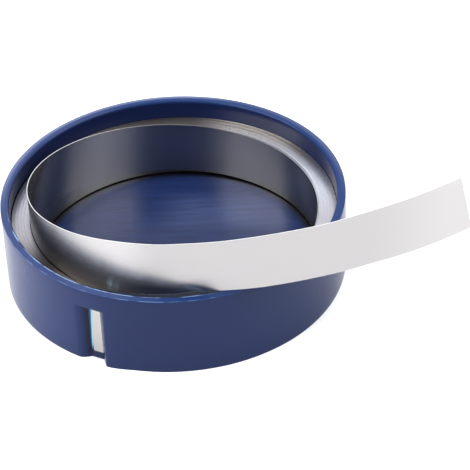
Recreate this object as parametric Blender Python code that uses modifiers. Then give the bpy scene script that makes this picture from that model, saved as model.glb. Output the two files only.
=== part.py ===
"""Shim stock roll: a coil of thin steel strip in a round open plastic case.

The inner turn of the strip is lifted out of the coil and its free end runs out over the rim.
Units are metres, +Z is up, and the origin is the middle of the case's underside.
"""
import math

import bmesh
import bpy
from mathutils import Vector

MM = 0.001

# Case
case_diameter = 75.0 * MM
wall = 1.9 * MM
floor_thickness = 1.5 * MM
rim_above_coil = 4.4 * MM
base_edge_radius = 0.5 * MM
rim_outer_radius = 0.2 * MM
rim_inner_radius = 0.6 * MM
inside_corner_radius = 0.25 * MM

# Strip, and the coil that it is wound into
strip_width = 12.7 * MM
strip_thickness = 0.15 * MM
turns = 25
turn_gap = 0.002 * MM
coil_fit = 0.3 * MM
coil_seat = 0.3 * MM
turn_groups = 6
group_groove_depth = 0.12 * MM
group_groove_width = 0.1 * MM

# Lifted turn and free end
lift_angle = math.radians(30.5)
root_sweep = math.radians(24.0)
root_rise = 0.05 * MM
lift_gap = 0.1 * MM
lifted_sweep = math.radians(186.5)
release_length = 28.0 * MM
tail_radius = 88.0 * MM
tail_length = 63.0 * MM
climb_ease_length = 81.5 * MM
coil_clearance = 0.8 * MM
rim_clearance = 0.85 * MM

# Dispensing slot in the wall
slot_face_angle = math.radians(-114.6)
slot_face_slant = math.radians(1.8)
slot_width = 2.75 * MM
slot_ramp_length = 2.75 * MM
slot_skin = 0.25 * MM
slot_headroom = 0.1 * MM

# Facets
case_steps = 128
coil_steps = 96
corner_steps = 3
ramp_steps = 6
path_step = 1.6 * MM

# Sizes that follow
case_radius = case_diameter / 2
case_inner_radius = case_radius - wall
coil_bottom = floor_thickness + coil_seat
coil_top = coil_bottom + strip_width
case_height = coil_top + rim_above_coil
coil_outer_radius = case_inner_radius - coil_fit
coil_build = turns * (strip_thickness + turn_gap)
coil_inner_radius = coil_outer_radius - coil_build
lifted_radius = coil_inner_radius - lift_gap - strip_thickness / 2


def clear_scene():
    for item in list(bpy.data.objects):
        bpy.data.objects.remove(item, do_unlink=True)


def make_collection(name):
    collection = bpy.data.collections.new(name)
    bpy.context.scene.collection.children.link(collection)
    return collection


def make_material(name, colour, roughness, metallic):
    material = bpy.data.materials.new(name)
    material.use_nodes = True
    shader = material.node_tree.nodes["Principled BSDF"]
    shader.inputs["Base Color"].default_value = (*colour, 1.0)
    shader.inputs["Roughness"].default_value = roughness
    shader.inputs["Metallic"].default_value = metallic
    material.diffuse_color = (*colour, 1.0)
    return material


def add_object(name, mesh, collection, material=None):
    item = bpy.data.objects.new(name, mesh)
    collection.objects.link(item)
    if material:
        mesh.materials.append(material)
    return item


def corner(centre_r, centre_z, radius, start, end):
    """Points of a quarter round in the profile plane, from one angle to another in degrees."""
    points = []
    for step in range(corner_steps + 1):
        angle = math.radians(start + (end - start) * step / corner_steps)
        points.append((centre_r + radius * math.cos(angle), centre_z + radius * math.sin(angle)))
    return points


def turned(name, profile, steps, collection, material, closed):
    """Turn a profile about Z: it runs down the outer side, under, and back up the inside."""
    mesh = bpy.data.meshes.new(name)
    edges = [(i, i + 1) for i in range(len(profile) - 1)]
    if closed:
        edges.append((len(profile) - 1, 0))
    mesh.from_pydata([(r, 0.0, z) for r, z in profile], edges, [])
    item = add_object(name, mesh, collection, material)
    screw = item.modifiers.new("Turn", "SCREW")
    screw.axis = "Z"
    screw.steps = steps
    screw.render_steps = steps
    screw.use_merge_vertices = True
    screw.merge_threshold = 0.00001
    screw.use_smooth_shade = True
    return item


def case_profile():
    """From the middle of the floor, outwards over the rim, and back to the middle underneath."""
    inner, outer, top = case_inner_radius, case_radius, case_height
    profile = [(0.0, floor_thickness)]
    profile += corner(inner - inside_corner_radius, floor_thickness + inside_corner_radius,
                      inside_corner_radius, -90, 0)
    profile += corner(inner + rim_inner_radius, top - rim_inner_radius, rim_inner_radius, 180, 90)
    profile += corner(outer - rim_outer_radius, top - rim_outer_radius, rim_outer_radius, 90, 0)
    profile += corner(outer - base_edge_radius, base_edge_radius, base_edge_radius, 0, -90)
    profile.append((0.0, 0.0))
    return profile


def coil_profile():
    """A ring section whose two ends are grooved between groups of turns."""
    group = coil_build / turn_groups
    bottom_end = []
    top_end = []
    for index in range(1, turn_groups):
        middle = coil_outer_radius - index * group
        for offset, depth in ((0.5, 0.0), (0.0, 1.0), (-0.5, 0.0)):
            r = middle + offset * group_groove_width
            bottom_end.append((r, coil_bottom + depth * group_groove_depth))
            top_end.append((r, coil_top - depth * group_groove_depth))
    profile = [(coil_outer_radius, coil_top), (coil_outer_radius, coil_bottom)]
    profile += bottom_end
    profile += [(coil_inner_radius, coil_bottom), (coil_inner_radius, coil_top)]
    profile += reversed(top_end)
    return profile


def ease(value):
    value = min(max(value, 0.0), 1.0)
    return value * value * (3.0 - 2.0 * value)


def strip_plan():
    """Plan points of the lifted strip: root in the coil, lifted turn, release and free tail."""
    points = []
    root_count = math.ceil(root_sweep * lifted_radius / path_step)
    root_radius = coil_inner_radius + strip_thickness
    for index in range(root_count):
        share = index / root_count
        angle = lift_angle - root_sweep * (1.0 - share)
        radius = root_radius + (lifted_radius - root_radius) * ease(share)
        points.append(Vector((radius * math.cos(angle), radius * math.sin(angle))))
    root_end = len(points)

    turn_length = lifted_sweep * lifted_radius
    length = turn_length + release_length + tail_length
    count = math.ceil(length / path_step)
    step = length / count
    heading = lift_angle + math.pi / 2
    point = Vector((lifted_radius * math.cos(lift_angle), lifted_radius * math.sin(lift_angle)))
    points.append(point.copy())
    for index in range(count):
        done = (index + 0.5) * step
        release = ease((done - turn_length) / release_length)
        curvature = (1.0 - release) / lifted_radius + release / tail_radius
        heading += curvature * step / 2
        point += step * Vector((math.cos(heading), math.sin(heading)))
        heading += curvature * step / 2
        points.append(point.copy())
    return points, root_end, step


def strip_path():
    """Points on the strip's middle line, which climbs just enough to clear the coil and the rim."""
    plan, root_end, step = strip_plan()
    slope = 0.0
    for radius, clear_height in ((coil_inner_radius - strip_thickness / 2, coil_top + coil_clearance),
                                 (case_inner_radius, case_height + rim_clearance)):
        crossing = next(i for i in range(root_end + 1, len(plan)) if plan[i].length > radius)
        run = (crossing - root_end) * step - climb_ease_length / 2
        slope = max(slope, (clear_height - coil_bottom) / run)
    height = coil_bottom + strip_width / 2 + root_rise
    path = []
    for index, point in enumerate(plan):
        if index > root_end:
            height += slope * ease((index - root_end - 0.5) * step / climb_ease_length) * step
        path.append(Vector((point.x, point.y, height)))
    return path


def lifted_strip(name, collection):
    """An open band square to its middle line, given its thickness by Solidify."""
    path = strip_path()
    build = bmesh.new()
    rows = []
    for index, point in enumerate(path):
        ahead = path[min(index + 1, len(path) - 1)]
        behind = path[max(index - 1, 0)]
        along = (ahead - behind).normalized()
        across = (Vector((0.0, 0.0, 1.0)) - along * along.z).normalized() * strip_width / 2
        rows.append((build.verts.new(point - across), build.verts.new(point + across)))
    for (low_a, high_a), (low_b, high_b) in zip(rows, rows[1:]):
        build.faces.new((low_a, low_b, high_b, high_a))
    mesh = bpy.data.meshes.new(name)
    build.to_mesh(mesh)
    build.free()
    item = add_object(name, mesh, collection)
    thicken = item.modifiers.new("Thickness", "SOLIDIFY")
    thicken.thickness = strip_thickness
    thicken.offset = 0.0
    thicken.use_even_offset = True
    return item


def prism(name, outline, low, high, collection):
    """A cutter: a plan outline extruded from one height to another."""
    build = bmesh.new()
    base = build.faces.new([build.verts.new((x, y, low)) for x, y in outline])
    grown = bmesh.ops.extrude_face_region(build, geom=[base])
    moved = [part for part in grown["geom"] if isinstance(part, bmesh.types.BMVert)]
    bmesh.ops.translate(build, vec=(0.0, 0.0, high - low), verts=moved)
    bmesh.ops.recalc_face_normals(build, faces=build.faces)
    mesh = bpy.data.meshes.new(name)
    build.to_mesh(mesh)
    build.free()
    return add_object(name, mesh, collection)


def polar(radius, angle):
    return (radius * math.cos(angle), radius * math.sin(angle))


def slot_recess(name, collection):
    """The outer wall ramps inwards to the slot, which stops at a face square to the view of it."""
    depth = wall - slot_skin
    deep_radius = case_radius - depth
    near = slot_face_angle - slot_face_slant / 2
    far = near - slot_width / deep_radius
    ramp = slot_ramp_length / case_radius
    beyond = case_radius + wall
    outline = [polar(beyond, slot_face_angle + slot_face_slant)]
    outline += [polar(deep_radius, near - (near - far) * i / ramp_steps) for i in range(ramp_steps + 1)]
    for i in range(1, ramp_steps + 1):
        share = 1.0 - i / ramp_steps
        outline.append(polar(case_radius - depth * share * share, far - ramp * (1.0 - share)))
    outline.append(polar(beyond, far - ramp))
    return prism(name, outline, -floor_thickness, coil_top + slot_headroom, collection)


def slot_window(name, collection):
    """The opening through what the recess leaves of the wall, from the floor to the slot's head."""
    inside = case_inner_radius - coil_fit / 2
    outside = case_radius - wall / 2
    near = slot_face_angle - slot_face_slant / 2
    far = near - slot_width / (case_radius - wall + slot_skin)
    outline = [polar(inside, far), polar(inside, near), polar(outside, near), polar(outside, far)]
    low = floor_thickness + inside_corner_radius
    return prism(name, outline, low, coil_top + slot_headroom, collection)


def cut(item, cutter, operation):
    boolean = item.modifiers.new(cutter.name, "BOOLEAN")
    boolean.operation = operation
    boolean.solver = "EXACT"
    boolean.object = cutter
    cutter.hide_render = True
    cutter.display_type = "WIRE"


def main():
    clear_scene()
    parts = make_collection("shim_stock_roll")
    cutters = make_collection("cutters")
    blue_plastic = make_material("blue_plastic", (0.045, 0.075, 0.26), 0.35, 0.0)
    bright_steel = make_material("bright_steel", (0.72, 0.72, 0.73), 0.25, 1.0)

    case = turned("case", case_profile(), case_steps, parts, blue_plastic, False)
    cut(case, slot_recess("slot_recess", cutters), "DIFFERENCE")
    cut(case, slot_window("slot_window", cutters), "DIFFERENCE")

    strip = turned("shim_strip", coil_profile(), coil_steps, parts, bright_steel, True)
    cut(strip, lifted_strip("lifted_strip", cutters), "UNION")


main()
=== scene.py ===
import bisect
import math

import bmesh
import bpy
from mathutils import Matrix, Vector, noise


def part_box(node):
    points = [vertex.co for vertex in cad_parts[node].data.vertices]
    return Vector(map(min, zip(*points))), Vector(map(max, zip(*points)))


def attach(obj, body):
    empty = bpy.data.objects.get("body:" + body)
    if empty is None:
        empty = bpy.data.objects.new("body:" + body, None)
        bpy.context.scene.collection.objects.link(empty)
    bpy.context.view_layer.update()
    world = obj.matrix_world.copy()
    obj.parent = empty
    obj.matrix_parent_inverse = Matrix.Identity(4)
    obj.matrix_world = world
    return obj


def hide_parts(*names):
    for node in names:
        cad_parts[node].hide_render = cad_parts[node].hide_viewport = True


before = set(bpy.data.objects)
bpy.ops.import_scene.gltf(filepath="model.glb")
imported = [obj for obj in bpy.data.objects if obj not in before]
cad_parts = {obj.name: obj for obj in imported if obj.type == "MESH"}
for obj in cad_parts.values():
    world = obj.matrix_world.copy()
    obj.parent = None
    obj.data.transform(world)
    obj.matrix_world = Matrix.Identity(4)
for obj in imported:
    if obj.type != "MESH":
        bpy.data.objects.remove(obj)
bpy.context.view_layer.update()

mm = 0.001
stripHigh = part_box("shim_strip")[1]
print("frame loaded, the strip's free end is", round(stripHigh.z / mm, 2), "mm up")


# shared helpers

def ease(value):
    value = min(max(value, 0.0), 1.0)
    return value * value * (3.0 - 2.0 * value)


def pushOut(build, place, width, share):
    # the case and the coil in it are slightly out of round: place and half width in degrees
    for vert in build.verts:
        away = (math.degrees(math.atan2(vert.co.y, vert.co.x)) - place) / width
        if abs(away) < 1.0:
            grown = 1.0 + share * math.cos(away * math.pi / 2.0) ** 2
            vert.co.x *= grown
            vert.co.y *= grown


outOfRound = (30.0, 42.0, 0.004)


def newObject(name, mesh):
    thing = bpy.data.objects.new(name, mesh)
    bpy.context.scene.collection.objects.link(thing)
    return thing


class Wire:
    # one shader socket that can be added, multiplied and compared like a number
    def __init__(self, kit, socket):
        self.kit = kit
        self.socket = socket

    def math(self, operation, *values):
        return self.kit.add("ShaderNodeMath", {"operation": operation}, dict(enumerate(values)))

    def __add__(self, other):
        return self.math("ADD", self, other)

    def __radd__(self, other):
        return self.math("ADD", other, self)

    def __sub__(self, other):
        return self.math("SUBTRACT", self, other)

    def __rsub__(self, other):
        return self.math("SUBTRACT", other, self)

    def __mul__(self, other):
        return self.math("MULTIPLY", self, other)

    def __rmul__(self, other):
        return self.math("MULTIPLY", other, self)

    def __truediv__(self, other):
        return self.math("DIVIDE", self, other)

    def __pow__(self, other):
        return self.math("POWER", self, other)

    def output(self, name):
        return Wire(self.kit, self.socket.node.outputs[name])

    def step(self, low, high):  # 0 below low, 1 above high, smooth between
        settings = {"interpolation_type": "SMOOTHSTEP"}
        inputs = {"Value": self, "From Min": low, "From Max": high}
        return self.kit.add("ShaderNodeMapRange", settings, inputs)


class NodeKit:
    # adds nodes to one tree: settings first, then values or links
    def __init__(self, tree):
        self.tree = tree

    def socketOf(self, node, key):
        if isinstance(key, int):
            return node.inputs[key]
        for socket in node.inputs:
            if socket.identifier == key or (socket.name == key and socket.enabled):
                return socket
        raise KeyError(key)

    def add(self, kind, settings=None, inputs=None, output=None):
        node = self.tree.nodes.new(kind)
        for name, value in (settings or {}).items():
            setattr(node, name, value)
        for key, value in (inputs or {}).items():
            self.plug(self.socketOf(node, key), value)
        outputs = [socket for socket in node.outputs if socket.enabled]
        if outputs:
            return Wire(self, node.outputs[output] if output else outputs[0])

    def plug(self, socket, value):
        if isinstance(value, Wire):
            self.tree.links.new(value.socket, socket)
        else:
            socket.default_value = value

    def mix(self, share, colourA, colourB):
        inputs = {"Factor_Float": share, "A_Color": opaque(colourA), "B_Color": opaque(colourB)}
        return self.add("ShaderNodeMix", {"data_type": "RGBA"}, inputs)

    def attribute(self, name):
        return self.add("ShaderNodeAttribute", {"attribute_name": name}, None, "Fac")

    def noiseAt(self, place, scale, detail):
        return self.add("ShaderNodeTexNoise", None, {"Vector": place, "Scale": scale, "Detail": detail})

    def store(self, geometry, name, value):
        settings = {"data_type": "FLOAT", "domain": "POINT"}
        inputs = {"Geometry": geometry, "Name": name, "Value": value}
        return self.add("GeometryNodeStoreNamedAttribute", settings, inputs)

    def axes(self):
        # the place on the object, and the same in mm by axis and distance from Z
        place = self.add("ShaderNodeTexCoord", None, None, "Object")
        x = self.add("ShaderNodeSeparateXYZ", None, {"Vector": place})
        y = x.output("Y")
        radius = (x * x + y * y) ** 0.5 / mm
        return place, {"x": x / mm, "y": y / mm, "z": x.output("Z") / mm, "radius": radius}


def opaque(colour):
    return colour if isinstance(colour, Wire) or len(colour) == 4 else (*colour, 1.0)


def newMaterial(name):
    material = bpy.data.materials.new(name)
    material.use_nodes = True
    return material, NodeKit(material.node_tree), material.node_tree.nodes["Principled BSDF"]


# camera, floor and lights

cameraView = {
    "lens": 159.27,
    "sensor": 36.0,
    "place": (13.10, -364.29, 286.25),  # mm
    "lookDown": 37.51,  # degrees
    "roll": -2.36,
}

studio = {
    "floorSize": 6.0,  # m
    "floorColour": (0.85, 0.85, 0.85),
    "floorMottle": 1.02,
    "floorMottleScale": 3.0,
    "floorRoughness": 0.9,
    "floorGloss": 0.1,
    "backdropLight": 1.2,
    "backdropEdge": (-0.95, -0.75),
    "sideLight": 0.4,
    "sideTint": (0.84, 0.92, 1.1),
    "sideTintTop": (0.92, 0.8),
    "cameraSideLight": 0.07,
    "cameraSideEdge": (0.55, 0.85),
    "topLight": 2.4,
    "topEdge": (0.8, 0.92),
    "rightBox": (65.0, 5.3),  # degrees from the camera, radiance
    "leftBox": (-72.0, 6.7),
    "boxHeight": 38.0,
    "boxDistance": 0.7,
    "boxSize": (0.65, 0.6),
}


def addCamera(view):
    data = bpy.data.cameras.new("camera")
    data.lens = view["lens"]
    data.sensor_width = view["sensor"]
    camera = newObject("camera", data)
    place = Matrix.Translation(Vector(view["place"]) * mm)
    tilt = Matrix.Rotation(math.radians(90.0 - view["lookDown"]), 4, "X")
    camera.matrix_world = place @ tilt @ Matrix.Rotation(math.radians(view["roll"]), 4, "Z")
    bpy.context.scene.camera = camera


def addFloor(values):
    mesh = bpy.data.meshes.new("studio_floor")
    build = bmesh.new()
    bmesh.ops.create_grid(build, x_segments=1, y_segments=1, size=values["floorSize"] / 2)
    build.to_mesh(mesh)
    build.free()
    material, kit, shader = newMaterial("white_paper")
    paper = kit.add("ShaderNodeTexNoise", None, {"Scale": values["floorMottleScale"], "Detail": 1.0})
    shader.inputs["Roughness"].default_value = values["floorRoughness"]
    shader.inputs["Specular IOR Level"].default_value = values["floorGloss"]
    bright = [channel * values["floorMottle"] for channel in values["floorColour"]]
    kit.plug(shader.inputs["Base Color"], kit.mix(paper, values["floorColour"], bright))
    mesh.materials.append(material)
    newObject("studio_floor", mesh)


def addSoftBox(name, values, place):
    turn, radiance = values[place]
    width, height = values["boxSize"]
    light = bpy.data.lights.new(name, "AREA")
    light.shape = "RECTANGLE"
    light.size = width
    light.size_y = height
    light.energy = math.pi * width * height * radiance
    around = math.radians(turn - 90.0)
    rise = math.radians(values["boxHeight"])
    flat = math.cos(rise)
    away = Vector((math.cos(around) * flat, math.sin(around) * flat, math.sin(rise)))
    box = newObject(name, light)
    box.matrix_world = (Matrix.Translation(away * values["boxDistance"])
                        @ away.to_track_quat("Z", "Y").to_matrix().to_4x4())


def addSurroundings(values):
    # a bright backdrop, a softer ceiling, dim sides and a dark room behind the camera
    world = bpy.data.worlds.new("studio")
    bpy.context.scene.world = world
    world.use_nodes = True
    kit = NodeKit(world.node_tree)
    direction = kit.add("ShaderNodeTexCoord", None, None, "Generated")
    x = kit.add("ShaderNodeSeparateXYZ", None, {"Vector": direction})
    y = x.output("Y")
    z = x.output("Z")
    flat = (x * x + y * y + 0.0001) ** 0.5  # never 0, so that it can divide
    towardsCamera = (y * -1.0) / flat
    sides = towardsCamera.step(*values["backdropEdge"])
    level = values["backdropLight"] + sides * (values["sideLight"] - values["backdropLight"])
    level = level + (values["cameraSideLight"] - level) * towardsCamera.step(*values["cameraSideEdge"])
    level = level + (values["topLight"] - level) * z.step(*values["topEdge"])
    tint = kit.mix(sides * z.step(*values["sideTintTop"]), (1.0, 1.0, 1.0), values["sideTint"])
    background = world.node_tree.nodes["Background"]
    kit.plug(background.inputs["Strength"], level)
    kit.plug(background.inputs["Color"], tint)


addCamera(cameraView)
addFloor(studio)
addSurroundings(studio)
addSoftBox("soft_box_right", studio, "rightBox")
addSoftBox("soft_box_left", studio, "leftBox")
bpy.context.scene.view_settings.view_transform = "Standard"
print("studio ready")


# materials

def zone(axes, ranges):
    # how far a point lies inside a zone, from 0 to 1: each range has an axis of the object, where a tone
    # starts and where it is full, in mm
    shares = [axes[axis].step(start, end) for axis, start, end in ranges]
    total = shares[0]
    for share in shares[1:]:
        total = total * share
    return total


plastic = {
    "wallColour": (0.0054, 0.0138, 0.057),
    # painted light: the outer wall is a lighter blue at the left and, a little, at the right
    "wallLitSideColour": (0.0105, 0.023, 0.092),
    # painted shade and light inside: the inner wall is darker, lighter at the front, and at the right carries
    # a painted reflection of the bright coil
    "insideColour": (0.006, 0.011, 0.045),
    "insideLitFrontColour": (0.012, 0.034, 0.125),
    "insideRightReflectionColour": (0.04, 0.038, 0.065),
    # painted light: the rim's top is lighter than the wall, paler still at the back and at the left
    "rimColour": (0.012, 0.029, 0.1),
    "rimLitBackColour": (0.112, 0.138, 0.232),
    "rimLitSideColour": (0.09, 0.1, 0.2),
    # painted highlight: pale dashes along the rim's inner and outer edges
    "edgeHighlightColour": (0.22, 0.36, 0.6),
    "recessColour": (0.0, 0.003, 0.022),
    # painted light on the window's left edge, from teal to pale cyan
    "litEdgeColour": (0.44, 0.68, 0.82),
    "litEdgeFadeColour": (0.04, 0.3, 0.5),
    "black": (0.0, 0.0, 0.0),
    "roughness": 0.2,
    "roughnessSpread": 0.06,
    "wallGloss": 0.15,
    "rimGloss": 0.1,
    # painted light: how strongly the window's head glows
    "glow": 1.5,
    "cloudScale": 60.0,
    "cloudShare": 0.1,
    "highlightDashScale": 330.0,
    "highlightDashEdge": (0.4, 0.6),
    "rightShare": 0.1,
    "rimLitSideShare": 0.25,
    "rimBackFall": 0.7,  # how much of the painted pale back is gone at the right
    "edgeHighlightShares": {"innerEdgeHighlight": 1.0, "outerEdgeHighlight": 0.5},
    # painted shade in the slot's recess, and the share of it kept on the sill
    "recessShare": 0.85,
    "sillShare": 0.4,
    "left": (("x", -5.0, -36.0),),
    "right": (("x", 10.0, 36.0),),
    "insideFront": (("y", -2.0, -12.0),),
    "insideRight": (("x", 30.0, 34.5), ("y", 15.0, 5.0)),
    "outsideFade": (("z", 18.6, 18.85),),  # where the rim's painted lighter tone takes over
    "insideFade": (("z", 18.1, 18.95),),
    "rimBack": (("radius", 36.2, 37.1), ("y", -6.0, 12.0)),
    "rimBackRight": (("x", 4.0, 16.0),),
    "edgeHighlightZone": (("y", -3.0, -15.0), ("x", 24.0, 8.0)),
    "innerEdgeHighlight": (("radius", 35.8, 35.84), ("radius", 36.18, 36.08), ("z", 18.6, 18.7)),
    "outerEdgeHighlight": (("radius", 37.38, 37.4), ("radius", 37.48, 37.45), ("z", 18.6, 18.7)),
    "recess": (("radius", 37.3, 36.2), ("z", 14.5, 14.4)),
    "aboveSill": (("z", 1.32, 1.39),),
}

plasticFloor = {
    "colour": (0.004, 0.015, 0.07),
    # painted light: a paler haze on the floor's middle
    "litHazeColour": (0.042, 0.06, 0.145),
    "streakColour": (0.0, 0.002, 0.02),
    # painted shadow of the strip on the floor's front
    "stripShadowColour": (0.0005, 0.002, 0.01),
    "footShadowColour": (0.0, 0.0, 0.001),
    "roughness": 0.36,
    "roughnessSpread": 0.06,
    "gloss": 0.4,
    "fineStreaks": (0.22, 2.4),  # noise a mm, along X and Y
    "broadStreaks": (0.055, 0.72),
    "streakEdge": (0.35, 0.65),
    "streakShare": 0.25,
    "litHazeShares": (0.35, 0.4),  # everywhere, and more in the streaks
    "stripShadowShare": 0.9,
    "underStripRoughness": 0.4,
    "litHaze": (("x", -7.0, 5.0), ("radius", 29.5, 27.0), ("y", 25.0, 19.0), ("y", 7.0, 13.0)),
    "stripShadow": (("y", 9.0, -14.0),),
    "footShadow": (("radius", 29.2, 31.2),),
}

steelFace = {
    "colour": (0.362, 0.352, 0.351),
    "darkerShare": 0.96,
    "brighterShare": 1.2,
    "dentReflectionColour": (0.07, 0.08, 0.1),
    "dentReflectionShare": 0.6,
    "roughness": 0.18,
    "roughnessSpread": 0.06,
    "stretch": 1.0,
    "stretchTurn": 0.25,
    "lines": (20.0, 4000.0),  # noise a metre, along and across the strip
    "paintedSheen": (("x", -26.0, -16.0), ("x", -2.0, -12.0), ("along", 4.9, 5.0)),  # painted reflection: where the face is brighter; along the strip in m
    "paintedSheenEnd": (("x", 38.0, 56.0),),
    "paintedSheenEndShare": 0.5,
}

steelEdge = {
    "colour": (0.82, 0.8, 0.83),
    # painted light: the ends are bluer and brighter at the left and right, darker at the front
    "litSideColour": (0.81, 0.86, 1.0),
    "shadedFrontSideColour": (0.62, 0.62, 0.7),
    "darkerShare": 0.4,
    "brownTint": (0.78, 0.72, 0.64),
    "highlightLineColour": (1.0, 0.94, 0.8),
    "darkReflectionColour": (0.115, 0.098, 0.09),
    "rightShadeColour": (0.3, 0.275, 0.265),
    "shadedColour": (0.06, 0.07, 0.11),
    "liftedHighlightColour": (1.0, 1.0, 1.0),
    "roughness": 0.3,
    "roughnessSpread": 0.1,
    "rings": (2.8, 0.025),  # noise a mm, outwards and along the turns
    "ringEdge": (0.3, 0.7),
    "ringFall": 0.7,
    "grainScale": 2200.0,
    "sideEdge": (250.0, 900.0),  # mm squared
    "broadWave": (5.5, 1.0, 1.7),  # a mm outwards, share of the rings' noise, shift
    "broadWaveEdge": (0.2, 0.85),
    "fineWave": (9.0, 5.0, 0.0),
    "fineWaveEdge": (-0.2, 0.9),
    "fineWaveShare": 0.35,
    "fineWaveFall": 0.6,
    "grainEdge": (0.5, 0.85),
    "grainShare": 0.25,
    "wallShadeEdge": (0.35, 0.6),
    "wallShadeShare": 0.6,
    "wallShadeFall": 0.8,
    "leftShadeShare": 0.18,
    "rightShadeGrainEdge": (0.4, 0.62),
    "rightShadeShares": (0.3, 0.4),  # everywhere, and more in the grain
    "shadedShare": 0.6,
    "darkReflectionBackShare": 0.75,
    "frontSide": (("y", 7.0, -7.0),),
    "behind": (("y", 12.0, 22.0), ("x", 2.0, 12.0)),
    "backShadeTurns": (("radius", 33.2, 34.2),),
    "highlightTurns": (("radius", 32.6, 33.6),),
    "wallShadeTurns": (("radius", 34.6, 35.2),),
    "left": (("x", -12.0, -28.0),),
    "right": (("x", 0.0, 20.0),),
    "wound": (("z", 15.2, 14.8),),
    "rightShade": (("radius", 33.2, 34.6), ("x", 16.0, 26.0), ("y", -3.0, 14.0), ("y", 27.0, 20.0)),
    "darkReflectionFront": (("x", 0.0, -12.0), ("y", -6.0, -19.0)),
    "darkReflectionBack": (("y", 10.0, 20.0), ("x", 14.0, 4.0)),
    "shaded": (("radius", 33.8, 35.4), ("x", -15.0, -30.0), ("y", -5.0, 8.0)),
    "lifted": (("z", 15.6, 18.0),),
}


def plasticTone(kit, values, place, axes, fade):
    # painted light: blue that is stronger at the left and right, and paler towards the rim, whose lighter
    # tone is painted light too
    left = zone(axes, values["left"])
    if fade == "insideFade":
        # painted light at the inner wall's front, painted reflection of the coil at its right
        front = zone(axes, values["insideFront"])
        colour = kit.mix(front, values["insideColour"], values["insideLitFrontColour"])
        colour = kit.mix(zone(axes, values["insideRight"]), colour, values["insideRightReflectionColour"])
    else:
        # painted light on the outer wall's left and right sides
        sides = left + zone(axes, values["right"]) * values["rightShare"]
        colour = kit.mix(sides, values["wallColour"], values["wallLitSideColour"])
    # painted light on the rim: pale at the back, less so at the right, and lighter at the left
    pale = zone(axes, values["rimBack"]) * (1.0 - values["rimBackFall"] * zone(axes, values["rimBackRight"]))
    rim = kit.mix(pale, values["rimColour"], values["rimLitBackColour"])
    rim = kit.mix(left * values["rimLitSideShare"], rim, values["rimLitSideColour"])
    colour = kit.mix(zone(axes, values[fade]), colour, rim)
    # painted highlight: pale dashes along the rim's edges, at the front towards the left
    highlightDashes = kit.noiseAt(place, values["highlightDashScale"], 4.0).step(*values["highlightDashEdge"])
    highlightDashes = highlightDashes * zone(axes, values["edgeHighlightZone"])
    for ring, share in values["edgeHighlightShares"].items():
        colour = kit.mix(zone(axes, values[ring]) * highlightDashes * share, colour, values["edgeHighlightColour"])
    # painted shade deep in the slot's recess, weaker on the sill below the window
    sill = values["sillShare"]
    shadedRecess = zone(axes, values["recess"]) * (sill + (1.0 - sill) * zone(axes, values["aboveSill"]))
    colour = kit.mix(shadedRecess * values["recessShare"], colour, values["recessColour"])
    # painted light: the window's left edge, teal where the share is low and pale cyan where it is full
    litEdge = kit.attribute("litEdge")
    return kit.mix(litEdge, colour, kit.mix(litEdge * litEdge, values["litEdgeFadeColour"], values["litEdgeColour"]))


def addPlastic(name, gloss, values, fade):
    material, kit, shader = newMaterial(name)
    place, axes = kit.axes()
    cloud = kit.noiseAt(place, values["cloudScale"], 3.0)
    colour = plasticTone(kit, values, place, axes, fade)
    kit.plug(shader.inputs["Base Color"], kit.mix(cloud * values["cloudShare"], colour, values["black"]))
    kit.plug(shader.inputs["Roughness"], values["roughness"] + values["roughnessSpread"] * (cloud - 0.5))
    shader.inputs["Specular IOR Level"].default_value = gloss
    paintedSlotGlow = kit.mix(kit.attribute("glow"), values["black"], values["litEdgeColour"])  # painted light: the window's head glows in the lit edge's colour, as if lit through the slot
    kit.plug(shader.inputs["Emission Color"], paintedSlotGlow)
    shader.inputs["Emission Strength"].default_value = values["glow"]
    return material


def addPlasticFloor(values):
    # fine streaks cross the floor inside, with a painted haze of light among them and painted shadow under
    # the strip, and the coil's foot stands in a painted shadow ring
    material, kit, shader = newMaterial("blue_plastic_floor")
    axes = kit.axes()[1]

    def streaks(alongX, alongY):
        place = kit.add("ShaderNodeCombineXYZ", None, {"X": axes["x"] * alongX, "Y": axes["y"] * alongY})
        return kit.noiseAt(place, 1.0, 2.0).step(*values["streakEdge"])

    fine = streaks(*values["fineStreaks"])
    broad = streaks(*values["broadStreaks"])
    # painted light: a paler haze on the floor, more along the streaks
    even, streaky = values["litHazeShares"]
    litHaze = zone(axes, values["litHaze"]) * (even + streaky * fine)
    colour = kit.mix(litHaze, values["colour"], values["litHazeColour"])
    colour = kit.mix((fine + broad) * values["streakShare"], colour, values["streakColour"])
    # painted shadow: the floor darkens towards the front, under the strip, and is rougher there
    under = zone(axes, values["stripShadow"])
    colour = kit.mix(under * values["stripShadowShare"], colour, values["stripShadowColour"])
    # painted shadow: a dark ring under the coil's foot
    kit.plug(shader.inputs["Base Color"], kit.mix(zone(axes, values["footShadow"]), colour, values["footShadowColour"]))
    rough = values["roughness"] + values["roughnessSpread"] * (fine - 0.5)
    kit.plug(shader.inputs["Roughness"], rough + values["underStripRoughness"] * under)
    shader.inputs["Specular IOR Level"].default_value = values["gloss"]
    return material


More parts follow.
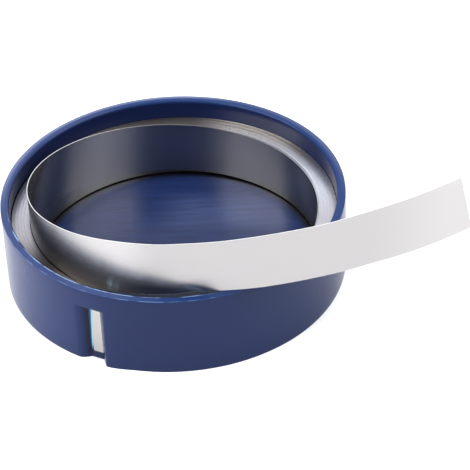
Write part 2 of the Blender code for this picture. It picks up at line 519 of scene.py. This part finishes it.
def addSteelFace(values):
    material, kit, shader = newMaterial("steel_face")
    axes = kit.axes()[1]
    axes["along"] = kit.attribute("along")
    linesAlong, linesAcross = values["lines"]
    place = kit.add("ShaderNodeCombineXYZ", None,
                    {"X": axes["along"] * linesAlong, "Y": kit.attribute("across") * linesAcross})
    lines = kit.noiseAt(place, 1.0, 4.0)
    darker = [channel * values["darkerShare"] for channel in values["colour"]]
    brighter = [channel * values["brighterShare"] for channel in values["colour"]]
    # painted reflection: the face is brighter on part of its lifted turn and, less, at its free end
    paintedSheen = zone(axes, values["paintedSheen"]) + zone(axes, values["paintedSheenEnd"]) * values["paintedSheenEndShare"]
    colour = kit.mix(paintedSheen, kit.mix(lines, values["colour"], darker), brighter)
    # painted reflection: a darker patch standing for a small dent's reflection
    dentReflection = kit.attribute("dentReflection") * values["dentReflectionShare"]
    kit.plug(shader.inputs["Base Color"], kit.mix(dentReflection, colour, values["dentReflectionColour"]))
    kit.plug(shader.inputs["Roughness"], values["roughness"] + values["roughnessSpread"] * (lines - 0.5))
    shader.inputs["Metallic"].default_value = 1.0
    shader.inputs["Anisotropic"].default_value = values["stretch"]
    shader.inputs["Anisotropic Rotation"].default_value = values["stretchTurn"]
    return material


def addSteelEdge(values):
    # the cut edges of the strip: rings of slightly different tone show the single turns, under painted light,
    # shade and reflections
    material, kit, shader = newMaterial("steel_edge")
    place, axes = kit.axes()
    outwards, along = values["rings"]
    turn = kit.add("ShaderNodeCombineXYZ", None,
                   {"X": axes["radius"] * outwards, "Y": axes["x"] * along, "Z": axes["y"] * along})
    rings = kit.noiseAt(turn, 1.0, 3.0)
    grain = kit.noiseAt(place, values["grainScale"], 3.0)

    def waves(which):
        often, share, shift = values[which]
        wave = axes["radius"] * often + shift + rings * share
        return wave.math("SINE", wave).step(*values[which + "Edge"])

    darker = [channel * values["darkerShare"] for channel in values["colour"]]
    brown = [channel * tint for channel, tint in zip(values["colour"], values["brownTint"])]
    # painted light at the left and right of the ends, painted shade at their front
    side = (axes["x"] ** 2.0).step(*values["sideEdge"])
    litSideColour = kit.mix(zone(axes, values["frontSide"]), values["litSideColour"], values["shadedFrontSideColour"])
    clean = kit.mix(side, values["colour"], litSideColour)
    colour = kit.mix(rings.step(*values["ringEdge"]) * (1.0 - values["ringFall"] * side), clean, brown)
    # painted shade: some outer turns at the back are darker brown
    behind = zone(axes, values["behind"])
    colour = kit.mix(zone(axes, values["backShadeTurns"]) * behind, colour, brown)
    # painted highlight: cream lines on the turns at the back
    highlightLines = zone(axes, values["highlightTurns"]) * waves("broadWave") * behind
    colour = kit.mix(highlightLines, colour, values["highlightLineColour"])
    # painted shade: the outer turns beside the wall are darker in grainy patches, less so at the back
    wallShade = zone(axes, values["wallShadeTurns"]) * grain.step(*values["wallShadeEdge"])
    wallShade = wallShade * (1.0 - values["wallShadeFall"] * behind) * values["wallShadeShare"]
    colour = kit.mix(grain.step(*values["grainEdge"]) * values["grainShare"] + wallShade, colour, darker)
    # painted shade: the ends are darker at the left
    colour = kit.mix(zone(axes, values["left"]) * values["leftShadeShare"], colour, darker)
    fineLines = waves("fineWave") * (1.0 - values["fineWaveFall"] * zone(axes, values["right"]))
    colour = kit.mix(fineLines * values["fineWaveShare"], colour, darker)
    wound = zone(axes, values["wound"])
    # painted shade: the outer turns at the right are darker, more so in the grain
    even, grainy = values["rightShadeShares"]
    rightShade = zone(axes, values["rightShade"]) * wound * (even + grainy * grain.step(*values["rightShadeGrainEdge"]))
    colour = kit.mix(rightShade, colour, values["rightShadeColour"])
    shaded = zone(axes, values["shaded"]) * wound
    colour = kit.mix(shaded * values["shadedShare"], colour, values["shadedColour"])
    # painted reflection: the ends are dark where they mirror dark surroundings, at the back and at the front
    # left
    darkReflectionBack = zone(axes, values["darkReflectionBack"]) * wound
    colour = kit.mix(darkReflectionBack * values["darkReflectionBackShare"], colour, values["darkReflectionColour"])
    colour = kit.mix(zone(axes, values["darkReflectionFront"]) * wound, colour, values["darkReflectionColour"])
    # painted highlight: the lifted strip's cut edges are white
    colour = kit.mix(zone(axes, values["lifted"]), colour, values["liftedHighlightColour"])
    kit.plug(shader.inputs["Base Color"], colour)
    rough = values["roughness"] + values["roughnessSpread"] * (grain - 0.5)
    kit.plug(shader.inputs["Roughness"], rough + values["roughnessSpread"] * (rings - 0.5))
    shader.inputs["Metallic"].default_value = 1.0
    return material


wallMaterial = addPlastic("blue_plastic_outside", plastic["wallGloss"], plastic, "outsideFade")
rimMaterial = addPlastic("blue_plastic_rim", plastic["rimGloss"], plastic, "insideFade")
floorMaterial = addPlasticFloor(plasticFloor)
faceMaterial = addSteelFace(steelFace)
edgeMaterial = addSteelEdge(steelEdge)


# the strip: one long path from the outer turn to the free end, swept by Geometry Nodes

strip = {
    "width": 12.7,
    "thickness": 0.15,
    "edgeRadius": 0.015,
    "turns": 25,
    "pitch": 0.161,
    "coilOuterRadius": 35.525,
    "outerEnd": -119.1,  # degrees: it lies in the dispensing slot
    "outerEndRadius": 35.92,
    "outerEndStraight": -113.5,
    "outerEndReturn": -103.0,
    "coilBottom": 1.8,
    "liftAngle": 30.5,
    "rootSweep": 24.0,
    "rootRise": 0.05,
    "liftGap": 0.1,
    "liftedSweep": 186.5,
    "releaseLength": 28.0,
    "tailRadius": 88.0,
    "tailLength": 62.75,
    "climbEaseLength": 81.5,
    "topMargin": 0.01,
    "turnSteps": 120,
    "pathStep": 0.5,
    "turnLift": 0.045,
    "acrossCuts": 12,
    "filletSteps": 2,
    "edgeTilt": 0.3,  # a face whose normal points up or down by more than this is a cut edge
    "sharpAngle": 20.0,
    "curlWidth": 4.0,
    "dentReflection": (137.0, -4.5, 1.9, 1.1),  # painted reflection of a small dent, a darker patch: mm along, mm up from the middle and its two spreads
    "settle": (  # mm along from the lift; mm outwards, mm up, degrees of lean, mm of curl at the lower edge
        (95.0, 0.0, 0.0, 0.0, 0.0),
        (103.0, -0.18, -0.2, 0.8, 0.0),
        (109.0, -0.08, -0.25, 1.5, 0.0),
        (115.0, 0.12, -0.22, 1.8, 0.0),
        (121.0, 0.28, -0.22, 1.7, 0.0),
        (126.0, 0.24, -0.32, 0.3, 0.0),
        (131.0, 0.16, -0.42, -0.7, 0.2),
        (135.0, 0.06, -0.37, -0.6, 0.65),
        (139.0, 0.0, -0.4, 0.0, 0.75),
        (144.0, 0.0, -0.32, 0.0, 0.45),
        (149.0, 0.0, -0.16, 0.0, 0.1),
        (157.0, 0.0, 0.0, 0.0, 0.0),
        (165.0, 0.0, 0.02, 0.2, 0.0),
        (171.0, 0.0, 0.18, 1.5, 0.0),
        (176.0, 0.0, 0.14, 2.8, 0.0),
        (182.0, 0.0, 0.03, 4.0, 0.0),
        (190.0, 0.0, 0.0, 4.4, 0.0),
    ),
}


def coilPath(values):
    # the wound turns, from the outer end inwards
    points = []
    end = math.radians(values["liftAngle"] - values["rootSweep"])
    sweep = (values["turns"] - 1) * math.tau + end - math.radians(values["outerEnd"])
    count = round(sweep / math.tau * values["turnSteps"])
    straight = math.radians(values["outerEndStraight"] - values["outerEnd"])
    back = math.radians(values["outerEndReturn"] - values["outerEndStraight"])
    middle = values["coilBottom"] + values["width"] / 2
    innerRadius = values["coilOuterRadius"] - values["turns"] * values["pitch"] + values["thickness"] / 2
    for index in range(count):
        left = sweep * (1.0 - index / count)
        turn = left / math.tau
        radius = innerRadius + values["pitch"] * (turn - 0.5 * ease(1.0 - turn))
        radius += (values["outerEndRadius"] - radius) * (1.0 - ease((sweep - left - straight) / back))
        angle = end - left
        wobble = noise.noise(Vector((turn * 7.3, 0.3, 0.0)))
        wobble += 0.4 * noise.noise(Vector((angle * 2.0, turn, 5.0)))
        lift = values["turnLift"] * wobble * min(turn, 1.0)
        points.append(Vector((radius * math.cos(angle), radius * math.sin(angle), middle + lift)))
    return points


def liftedPlan(values):
    points = []
    coilInner = values["coilOuterRadius"] - values["turns"] * values["pitch"]
    liftedRadius = coilInner - values["liftGap"] - values["thickness"] / 2
    rootRadius = coilInner + values["thickness"] / 2 - values["pitch"] / 2
    start = math.radians(values["liftAngle"])
    rootSweep = math.radians(values["rootSweep"])
    rootCount = math.ceil(rootSweep * liftedRadius / values["pathStep"])
    for index in range(rootCount):
        share = index / rootCount
        angle = start - rootSweep * (1.0 - share)
        radius = rootRadius + (liftedRadius - rootRadius) * ease(share)
        points.append(Vector((radius * math.cos(angle), radius * math.sin(angle))))
    turnLength = math.radians(values["liftedSweep"]) * liftedRadius
    length = turnLength + values["releaseLength"] + values["tailLength"]
    count = math.ceil(length / values["pathStep"])
    step = length / count
    heading = start + math.pi / 2
    point = Vector((liftedRadius * math.cos(start), liftedRadius * math.sin(start)))
    points.append(point.copy())
    for index in range(count):
        release = ease(((index + 0.5) * step - turnLength) / values["releaseLength"])
        curvature = (1.0 - release) / liftedRadius + release / values["tailRadius"]
        heading += curvature * step / 2
        point += step * Vector((math.cos(heading), math.sin(heading)))
        heading += curvature * step / 2
        points.append(point.copy())
    return points, rootCount, step


def liftedPath(values):
    # the inner turn climbs evenly to the height that the frame gives its free end
    plan, rootEnd, step = liftedPlan(values)
    run = (len(plan) - 1 - rootEnd) * step - values["climbEaseLength"] / 2
    rise = (stripHigh.z / mm - values["topMargin"] - values["coilBottom"]
            - values["width"] / 2 - values["rootRise"])
    slope = 0.2
    for attempt in range(8):  # the strip stands square to its slope, so each round comes nearer
        slope = (rise - values["width"] / 2 * math.cos(math.atan(slope))) / run
    path = []
    for index, point in enumerate(plan):
        if index <= rootEnd:
            height = values["coilBottom"] + values["width"] / 2 + values["rootRise"] * ease(index / rootEnd)
        else:
            height += slope * ease((index - rootEnd - 0.5) * step / values["climbEaseLength"]) * step
        path.append(Vector((point.x, point.y, height)))
    return path, rootEnd


def settleAt(values, distance):
    # the table's values at one distance, on a smooth curve through its rows
    table = values["settle"]
    if distance >= table[-1][0]:
        return table[-1][1:]
    at = next(index for index, row in enumerate(table) if distance < row[0]) - 1
    before, start, end = table[max(at - 1, 0)], table[at], table[at + 1]
    after = table[min(at + 2, len(table) - 1)]
    span = end[0] - start[0]
    share = (distance - start[0]) / span
    result = []
    for column in range(1, len(start)):
        slopeIn = (end[column] - before[column]) / (end[0] - before[0]) * span
        slopeOut = (after[column] - start[column]) / (after[0] - start[0]) * span
        bend = slopeIn * (share - 2.0 * share ** 2 + share ** 3) + slopeOut * (share ** 3 - share ** 2)
        result.append(start[column] + (end[column] - start[column]) * ease(share) + bend)
    return result


def settleStrip(mesh, path, start, values):
    # fine bends of the free part: each vertex moves with its place along the path and up the strip
    measured = [0.0]
    for before, after in zip(path, path[1:]):
        measured.append(measured[-1] + (after - before).length)
    first = values["settle"][0][0]
    build = bmesh.new()
    build.from_mesh(mesh)
    along = build.verts.layers.float["along"]
    dentReflection = build.verts.layers.float.new("dentReflection")
    at, up, wide, tall = values["dentReflection"]

    def indexOf(vert):
        return max(bisect.bisect_left(measured, vert[along] / mm - 0.01), 1)

    def distanceOf(vert):
        return (indexOf(vert) - start) * values["pathStep"]

    long = values["width"] * 0.8 * mm
    upright = [edge for edge in build.edges if edge.calc_length() > long
               and abs(edge.verts[0].co.z - edge.verts[1].co.z) > long and distanceOf(edge.verts[0]) > first]
    bmesh.ops.subdivide_edges(build, edges=upright, cuts=values["acrossCuts"], use_grid_fill=True)
    for vert in build.verts:
        distance = distanceOf(vert)
        if distance <= first:
            continue
        index = min(indexOf(vert), len(path) - 1)
        heading = path[index] - path[index - 1]
        outwards = Vector((heading.y, -heading.x, 0.0)).normalized()
        outward, rise, lean, curl = settleAt(values, distance)
        height = vert.co.z / mm - path[index].z
        low = max(values["curlWidth"] - (height + values["width"] / 2), 0.0) / values["curlWidth"]
        outward -= height * math.sin(math.radians(lean)) + curl * low * low
        # painted reflection: each vertex's share of the dent's darker patch
        vert[dentReflection] = math.exp(-((distance - at) / wide) ** 2 / 2.0 - ((height - up) / tall) ** 2 / 2.0)
        vert.co += (outwards * outward + Vector((0.0, 0.0, rise))) * mm
    pushOut(build, *outOfRound)
    build.to_mesh(mesh)
    build.free()


def pathCurve(name, points):
    data = bpy.data.curves.new(name, "CURVE")
    data.dimensions = "3D"
    data.twist_mode = "Z_UP"
    spline = data.splines.new("POLY")
    spline.points.add(len(points) - 1)
    for target, point in zip(spline.points, points):
        target.co = (*(point * mm), 1.0)
    return newObject(name, data)


def sweepTree(values):
    tree = bpy.data.node_groups.new("strip_sweep", "GeometryNodeTree")
    tree.interface.new_socket("Geometry", in_out="INPUT", socket_type="NodeSocketGeometry")
    for name in ("Strip width", "Strip thickness", "Edge radius"):
        tree.interface.new_socket(name, in_out="INPUT", socket_type="NodeSocketFloat")
    for name in ("Face material", "Edge material"):
        tree.interface.new_socket(name, in_out="INPUT", socket_type="NodeSocketMaterial")
    tree.interface.new_socket("Geometry", in_out="OUTPUT", socket_type="NodeSocketGeometry")
    kit = NodeKit(tree)
    given = kit.add("NodeGroupInput", None, None, "Geometry")
    upright = kit.add("GeometryNodeSetCurveNormal", {"mode": "Z_UP"}, {"Curve": given})
    length = kit.add("GeometryNodeSplineParameter", None, None, "Length")
    path = kit.store(upright, "along", length)
    section = kit.add("GeometryNodeCurvePrimitiveQuadrilateral", {"mode": "RECTANGLE"},
                      {"Width": given.output("Strip thickness"), "Height": given.output("Strip width")})
    rounding = {"Curve": section, "Count": values["filletSteps"], "Radius": given.output("Edge radius")}
    rounded = kit.add("GeometryNodeFilletCurve", {"mode": "POLY"}, {**rounding, "Limit Radius": True})
    place = kit.add("GeometryNodeInputPosition")
    down = kit.add("ShaderNodeSeparateXYZ", None, {"Vector": place}, "Y")
    profile = kit.store(rounded, "across", down)
    swept = kit.add("GeometryNodeCurveToMesh", None,
                    {"Curve": path, "Profile Curve": profile, "Fill Caps": True})
    faced = kit.add("GeometryNodeSetMaterial", None,
                    {"Geometry": swept, "Material": given.output("Face material")})
    normal = kit.add("GeometryNodeInputNormal")
    upDown = kit.add("ShaderNodeSeparateXYZ", None, {"Vector": normal}, "Z")
    isEdge = upDown.math("GREATER_THAN", upDown.math("ABSOLUTE", upDown), values["edgeTilt"])
    edged = kit.add("GeometryNodeSetMaterial", None,
                    {"Geometry": faced, "Selection": isEdge, "Material": given.output("Edge material")})
    real = kit.add("GeometryNodeRealizeInstances", None, {"Geometry": edged})
    kit.add("NodeGroupOutput", None, {"Geometry": real})
    return tree


def buildStrip(values):
    coil = coilPath(values)
    lifted, rootEnd = liftedPath(values)
    curve = pathCurve("strip_path", coil + lifted)
    sweep = curve.modifiers.new("Sweep", "NODES")
    sweep.node_group = sweepTree(values)
    given = {
        "Strip width": values["width"] * mm,
        "Strip thickness": values["thickness"] * mm,
        "Edge radius": values["edgeRadius"] * mm,
        "Face material": faceMaterial,
        "Edge material": edgeMaterial,
    }
    for socket in sweep.node_group.interface.items_tree:
        if socket.in_out == "INPUT" and socket.name in given:
            sweep[socket.identifier] = given[socket.name]
    bpy.context.view_layer.update()
    graph = bpy.context.evaluated_depsgraph_get()
    mesh = bpy.data.meshes.new_from_object(curve.evaluated_get(graph))
    bpy.data.objects.remove(curve)
    mesh.name = "wound_strip"
    settleStrip(mesh, coil + lifted, len(coil) + rootEnd, values)
    mesh.shade_smooth()
    mesh.set_sharp_from_angle(angle=math.radians(values["sharpAngle"]))
    piece = newObject("wound_strip", mesh)
    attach(piece, "root")
    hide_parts("shim_strip")
    print("strip made,", len(mesh.polygons), "faces")


buildStrip(strip)


# the case: columns round the axis carry one profile, pushed inwards at the dispensing slot

case = {
    "radius": 37.5,
    "innerRadius": 35.6,
    "height": 18.9,
    "floorTop": 1.5,
    "baseEdge": 0.12,
    "floorEdge": 0.25,
    "rimInnerEdge": 0.6,
    "rimOuterEdge": 0.12,
    "rimRise": 0.2,  # at the back
    "columnStep": 1.0,  # degrees
    "rampStart": -124.05,
    "rampEnd": -120.0,
    "rampSteps": 14,
    "rampCurve": 1.3,
    "skin": (-119.9, -119.6),  # the window's left edge, painted as if it catches light
    "lipFoot": -115.44,
    # degrees and share of the recess
    "lipCorner": ((-113.62, 0.2), (-113.35, 0.07), (-113.0, 0.015), (-112.6, 0.0)),
    "recessRadius": 36.03,
    "recessTop": 14.4,
    "windowFoot": 1.4,
    "windowHead": 15.1,  # on the inside of the wall
    "windowRows": (3.0, 7.0, 11.0, 14.2),
    "windowSteps": 5,
    "floorRings": (6.0, 12.0, 18.0, 24.0, 29.0, 33.0),
    "baseRings": (33.0, 24.0, 12.0),
    "insideRow": 17.2,
    "outsideRow": 17.0,
    "skinSlant": ((0.0, 0.52), (-0.1, 1.44)),  # degrees that it leans, at the foot and the top
    "lipBulge": 0.45,
    "lipBulgeEnd": -101.5,
    "lipBulgeTop": 1.5,  # below the rim
    "rimNick": 0.035,
    "nickScales": (45.0, 9.0),
    "nickSeeds": {"rimInner": 3.0, "rimOuter": 9.0},
    "sharpAngle": 32.0,
}


def arc(centreR, centreZ, radius, start, end, steps):
    points = []
    for index in range(steps + 1):
        angle = math.radians(start + (end - start) * index / steps)
        points.append((centreR + radius * math.cos(angle), centreZ + radius * math.sin(angle)))
    return points


def caseColumns(values):
    # angle and share of the recess's depth for each column
    slot = []
    for index in range(values["rampSteps"] + 1):
        share = 1.0 - (1.0 - index / values["rampSteps"]) ** values["rampCurve"]
        slot.append((values["rampStart"] + (values["rampEnd"] - values["rampStart"]) * share, share * share))
    edge, window = values["skin"]
    slot += [(edge, 1.0), (window, 1.0)]
    for index in range(1, values["windowSteps"] + 1):
        angle = window + (values["lipFoot"] - window) * index / values["windowSteps"]
        slot.append((angle, 1.0))
    slot += values["lipCorner"]
    first = slot[0][0]
    rest = 360.0 - (slot[-1][0] - first)
    count = round(rest / values["columnStep"])
    around = [(slot[-1][0] + rest * index / count, 0.0) for index in range(1, count)]
    return slot + around


def lipBulge(values, angle, z):
    # the wall beside the slot stands out a little, most at its foot
    angle = (angle + 180.0) % 360.0 - 180.0
    if not values["lipFoot"] - 0.01 <= angle < values["lipBulgeEnd"]:
        return 0.0
    start = values["lipCorner"][-1][0]
    away = ease((angle - start) / (values["lipBulgeEnd"] - start))
    return values["lipBulge"] * (1.0 - away) * max(1.0 - z / (values["height"] - values["lipBulgeTop"]), 0.0)


def caseRows(values):
    # radius, height, kind of row, and how far it takes part in the recess
    inner, outer, top = values["innerRadius"], values["radius"], values["height"]
    floorTop, edge = values["floorTop"], values["floorEdge"]
    rows = [(r, floorTop, "plain", 0.0) for r in values["floorRings"]]
    rows += [(r, z, "plain", 0.0) for r, z in arc(inner - edge, floorTop + edge, edge, -90, 0, 4)[:-1]]
    rows.append((inner, floorTop + edge, "windowFoot", 0.0))
    rows += [(inner, z, "inside", 0.0) for z in values["windowRows"]]
    rows.append((inner, values["windowHead"], "windowTop", 0.0))
    rows += [(inner, values["windowHead"] + 0.05, "plain", 0.0), (inner, values["insideRow"], "plain", 0.0)]
    radius = values["rimInnerEdge"]
    rows += [(r, z, "rimInner", 0.0) for r, z in arc(inner + radius, top - radius, radius, 180, 90, 7)]
    rows.append(((inner + outer) / 2 + 0.2, top, "plain", 0.0))
    radius = values["rimOuterEdge"]
    rows += [(r, z, "rimOuter", 0.0) for r, z in arc(outer - radius, top - radius, radius, 90, 0, 5)]
    recessTop = values["recessTop"]
    rows += [(outer, values["outsideRow"], "outside", 0.0), (outer, recessTop + 0.5, "outside", 0.0)]
    rows += [(outer, recessTop + 0.12, "outside", 0.0), (outer, recessTop + 0.03, "outside", 0.02),
             (outer, recessTop, "outside", 0.09), (outer, recessTop, "windowTop", 1.0)]
    rows += [(outer, z, "outside", 1.0) for z in reversed(values["windowRows"])]
    rows.append((outer, values["windowFoot"], "windowFoot", 1.0))
    radius = values["baseEdge"]
    rows += [(r, z, "outside", 1.0) for r, z in arc(outer - radius, radius, radius, 0, -90, 4)]
    rows += [(r, 0.0, "plain", 0.0) for r in values["baseRings"]]
    return rows


def caseRadius(values, row, angle, share):
    radius, z, kind, part = row
    if radius < values["innerRadius"] - 0.001:
        return radius
    bulge = lipBulge(values, angle, z)
    if radius < values["innerRadius"] + 0.001:
        return radius + bulge
    return radius + bulge - part * share * (values["radius"] + bulge - values["recessRadius"])


def rimWear(values, kind, angle):
    # small nicks along the rim's two edges
    if kind not in values["nickSeeds"]:
        return 0.0
    seed = values["nickSeeds"][kind]
    turned = math.radians(angle)
    spot, slow = [noise.noise(Vector((math.cos(turned) * scale, math.sin(turned) * scale, seed)))
                  for scale in values["nickScales"]]
    return -values["rimNick"] * (max(spot, 0.0) ** 2 * 3.0 + 0.4 * abs(slow))


def faceTone(values, row, nextRow):
    # which of the case's materials a face wears: rim and inner wall, outer wall, floor
    if row[0] > values["radius"] - 0.001:
        return 1
    isFloor = nextRow[0] < values["innerRadius"] and row[1] > 0.5
    return 2 if isFloor else 0


def buildCase(values):
    columns = caseColumns(values)
    rows = caseRows(values)
    build = bmesh.new()
    litEdge = build.verts.layers.float.new("litEdge")
    glow = build.verts.layers.float.new("glow")
    grid = []
    for angle, share in columns:
        column = []
        for index, row in enumerate(rows):
            radius = caseRadius(values, row, angle, share)
            rise = values["rimRise"] * ease(2.0 * math.sin(math.radians(angle)) + 0.2)
            z = row[1] + rimWear(values, row[2], angle) + rise * (row[1] / values["height"]) ** 4
            onWindow = row[2] in ("inside", "windowTop", "windowFoot")
            besideWindow = onWindow and row[1] < values["windowHead"] + 0.1
            besideWindow = besideWindow or (row[3] > 0.5 and row[1] < values["recessTop"])
            onEdge = angle in values["skin"] and besideWindow
            turned = angle
            if onEdge:
                low, high = values["skinSlant"][values["skin"].index(angle)]
                turned += low + (high - low) * z / values["recessTop"]
            turned = math.radians(turned)
            vert = build.verts.new((radius * math.cos(turned) * mm, radius * math.sin(turned) * mm, z * mm))
            isHead = row[2] == "windowTop" and row[0] < values["radius"] - 1.0 and share > 0.999
            # painted light: share of the lit look on the window's left edge
            if onEdge and z > values["windowFoot"] + 0.5:
                vert[litEdge] = 1.0 if angle == values["skin"][1] else 0.05
            # painted light: the window's head glows
            vert[glow] = 1.0 if isHead else 0.0
            column.append(vert)
        grid.append(column)
    marks = {}
    for index, row in enumerate(rows):
        if row[2] in ("windowFoot", "windowTop"):
            marks.setdefault(row[2], []).append(index)
    innerFoot, outerFoot = marks["windowFoot"]
    innerTop, outerTop = marks["windowTop"]
    slot = [index for index, (angle, share) in enumerate(columns) if share > 0.999]
    left, right = [angle for angle, share in columns].index(values["skin"][1]), slot[-1]
    count = len(columns)
    for c in range(count):
        a, b = grid[c], grid[(c + 1) % count]
        for r in range(len(rows) - 1):
            inWindow = left <= c < right and (innerFoot <= r < innerTop or outerTop <= r < outerFoot)
            if not inWindow:
                face = build.faces.new((a[r], b[r], b[r + 1], a[r + 1]))
                face.material_index = faceTone(values, rows[r], rows[r + 1])
    span = innerTop - innerFoot
    for c in range(left, right):  # foot and head of the window
        a, b = grid[c], grid[c + 1]
        build.faces.new((a[innerFoot], b[innerFoot], b[outerFoot], a[outerFoot]))
        build.faces.new((a[outerTop], b[outerTop], b[innerTop], a[innerTop]))
    for step in range(span):  # its two sides
        for c in (left, right):
            side = grid[c]
            build.faces.new((side[innerFoot + step], side[innerFoot + step + 1],
                             side[outerFoot - step - 1], side[outerFoot - step]))
    for row, z in ((0, values["floorTop"]), (-1, 0.0)):
        centre = build.verts.new((0.0, 0.0, z * mm))
        for c in range(count):
            face = build.faces.new((grid[c][row], grid[(c + 1) % count][row], centre))
            face.material_index = 2 if z > 0.0 else 0
    pushOut(build, *outOfRound)
    bmesh.ops.recalc_face_normals(build, faces=build.faces)
    mesh = bpy.data.meshes.new("case_moulding")
    build.to_mesh(mesh)
    build.free()
    for material in (rimMaterial, wallMaterial, floorMaterial):
        mesh.materials.append(material)
    mesh.shade_smooth()
    mesh.set_sharp_from_angle(angle=math.radians(values["sharpAngle"]))
    piece = newObject("case_moulding", mesh)
    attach(piece, "root")
    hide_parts("case")
    print("case made,", len(mesh.polygons), "faces")


buildCase(case)
